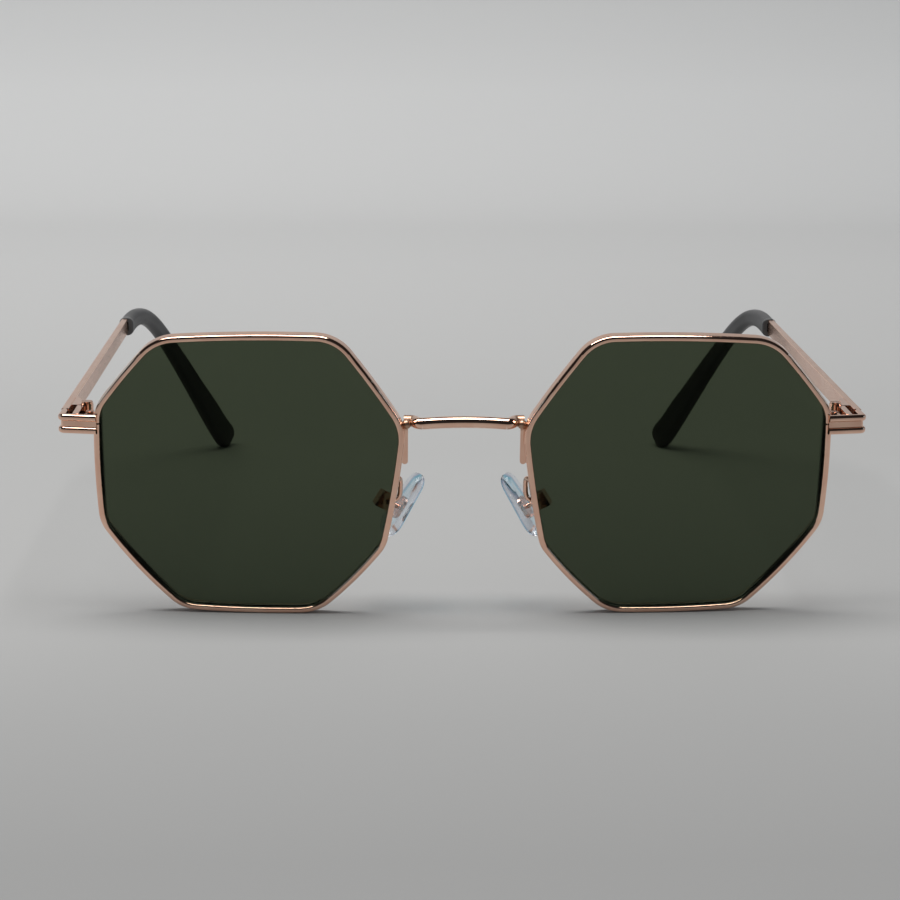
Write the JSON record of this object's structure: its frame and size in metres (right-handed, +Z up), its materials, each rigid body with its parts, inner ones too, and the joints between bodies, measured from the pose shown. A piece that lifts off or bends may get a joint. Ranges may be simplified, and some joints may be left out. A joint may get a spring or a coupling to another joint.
{
  "type": "octagonal tinted eyeglasses",
  "caption": "Wire-rimmed octagonal sunglasses with a bar bridge, adjustable clear nose pads, screw hinges and folding temples with curved tips.",
  "frame": {"origin": "centre of the bounding box on the surface that the rims and tips stand on", "axes": "+X across the face to the right as seen from the front, the front faces -Y, the temples run to +Y, +Z up"},
  "size_m": [0.1422, 0.1396, 0.0521],
  "materials": {
    "rose_gold": "polished rose gold plating",
    "screw_gold": "polished rose gold plating",
    "lens_tint": "dark green tint",
    "black_acetate": "gloss",
    "clear_silicone": "clear gloss"
  },
  "bodies": {
    "front": {"bridge": "rose_gold", "right_rim": "rose_gold", "left_rim": "rose_gold", "right_lens": "lens_tint", "left_lens": "lens_tint", "right_end_piece": "rose_gold", "left_end_piece": "rose_gold", "right_upper_closing_block": "rose_gold", "left_upper_closing_block": "rose_gold", "right_lower_closing_block": "rose_gold", "left_lower_closing_block": "rose_gold", "right_front_hinge_leaf": "rose_gold", "left_front_hinge_leaf": "rose_gold", "right_pad_arm": "rose_gold", "left_pad_arm": "rose_gold", "closing_screws": "screw_gold", "hinge_screws": "screw_gold", "pad_screws": "screw_gold"},
    "right_temple_arm": {"right_temple": "rose_gold", "right_temple_tip": "black_acetate", "right_temple_hinge_leaf": "rose_gold"},
    "right_pad": {"right_nose_pad": "clear_silicone", "right_pad_insert": "rose_gold"},
    "left_temple_arm": {"left_temple": "rose_gold", "left_temple_tip": "black_acetate", "left_temple_hinge_leaf": "rose_gold"},
    "left_pad": {"left_nose_pad": "clear_silicone", "left_pad_insert": "rose_gold"}
  },
  "joints": [
    {"name": "right_temple_fold", "type": "hinge", "parent": "front", "child": "right_temple_arm", "pos_m": [0.0662, -0.05862, 0.03541], "axis": [0, 0, 1], "range_deg": [0, 80]},
    {"name": "left_temple_fold", "type": "hinge", "parent": "front", "child": "left_temple_arm", "pos_m": [-0.0662, -0.05862, 0.03541], "axis": [0, 0, -1], "range_deg": [0, 66]},
    {"name": "right_pad_rock", "type": "hinge", "parent": "front", "child": "right_pad", "pos_m": [0.01383, -0.06, 0.02038], "axis": [0.2207, 0.9659, 0.1352], "range_deg": [-8, 8]},
    {"name": "left_pad_rock", "type": "hinge", "parent": "front", "child": "left_pad", "pos_m": [-0.01383, -0.06, 0.02038], "axis": [0.2207, -0.9659, -0.1352], "range_deg": [-8, 8]}
  ]
}
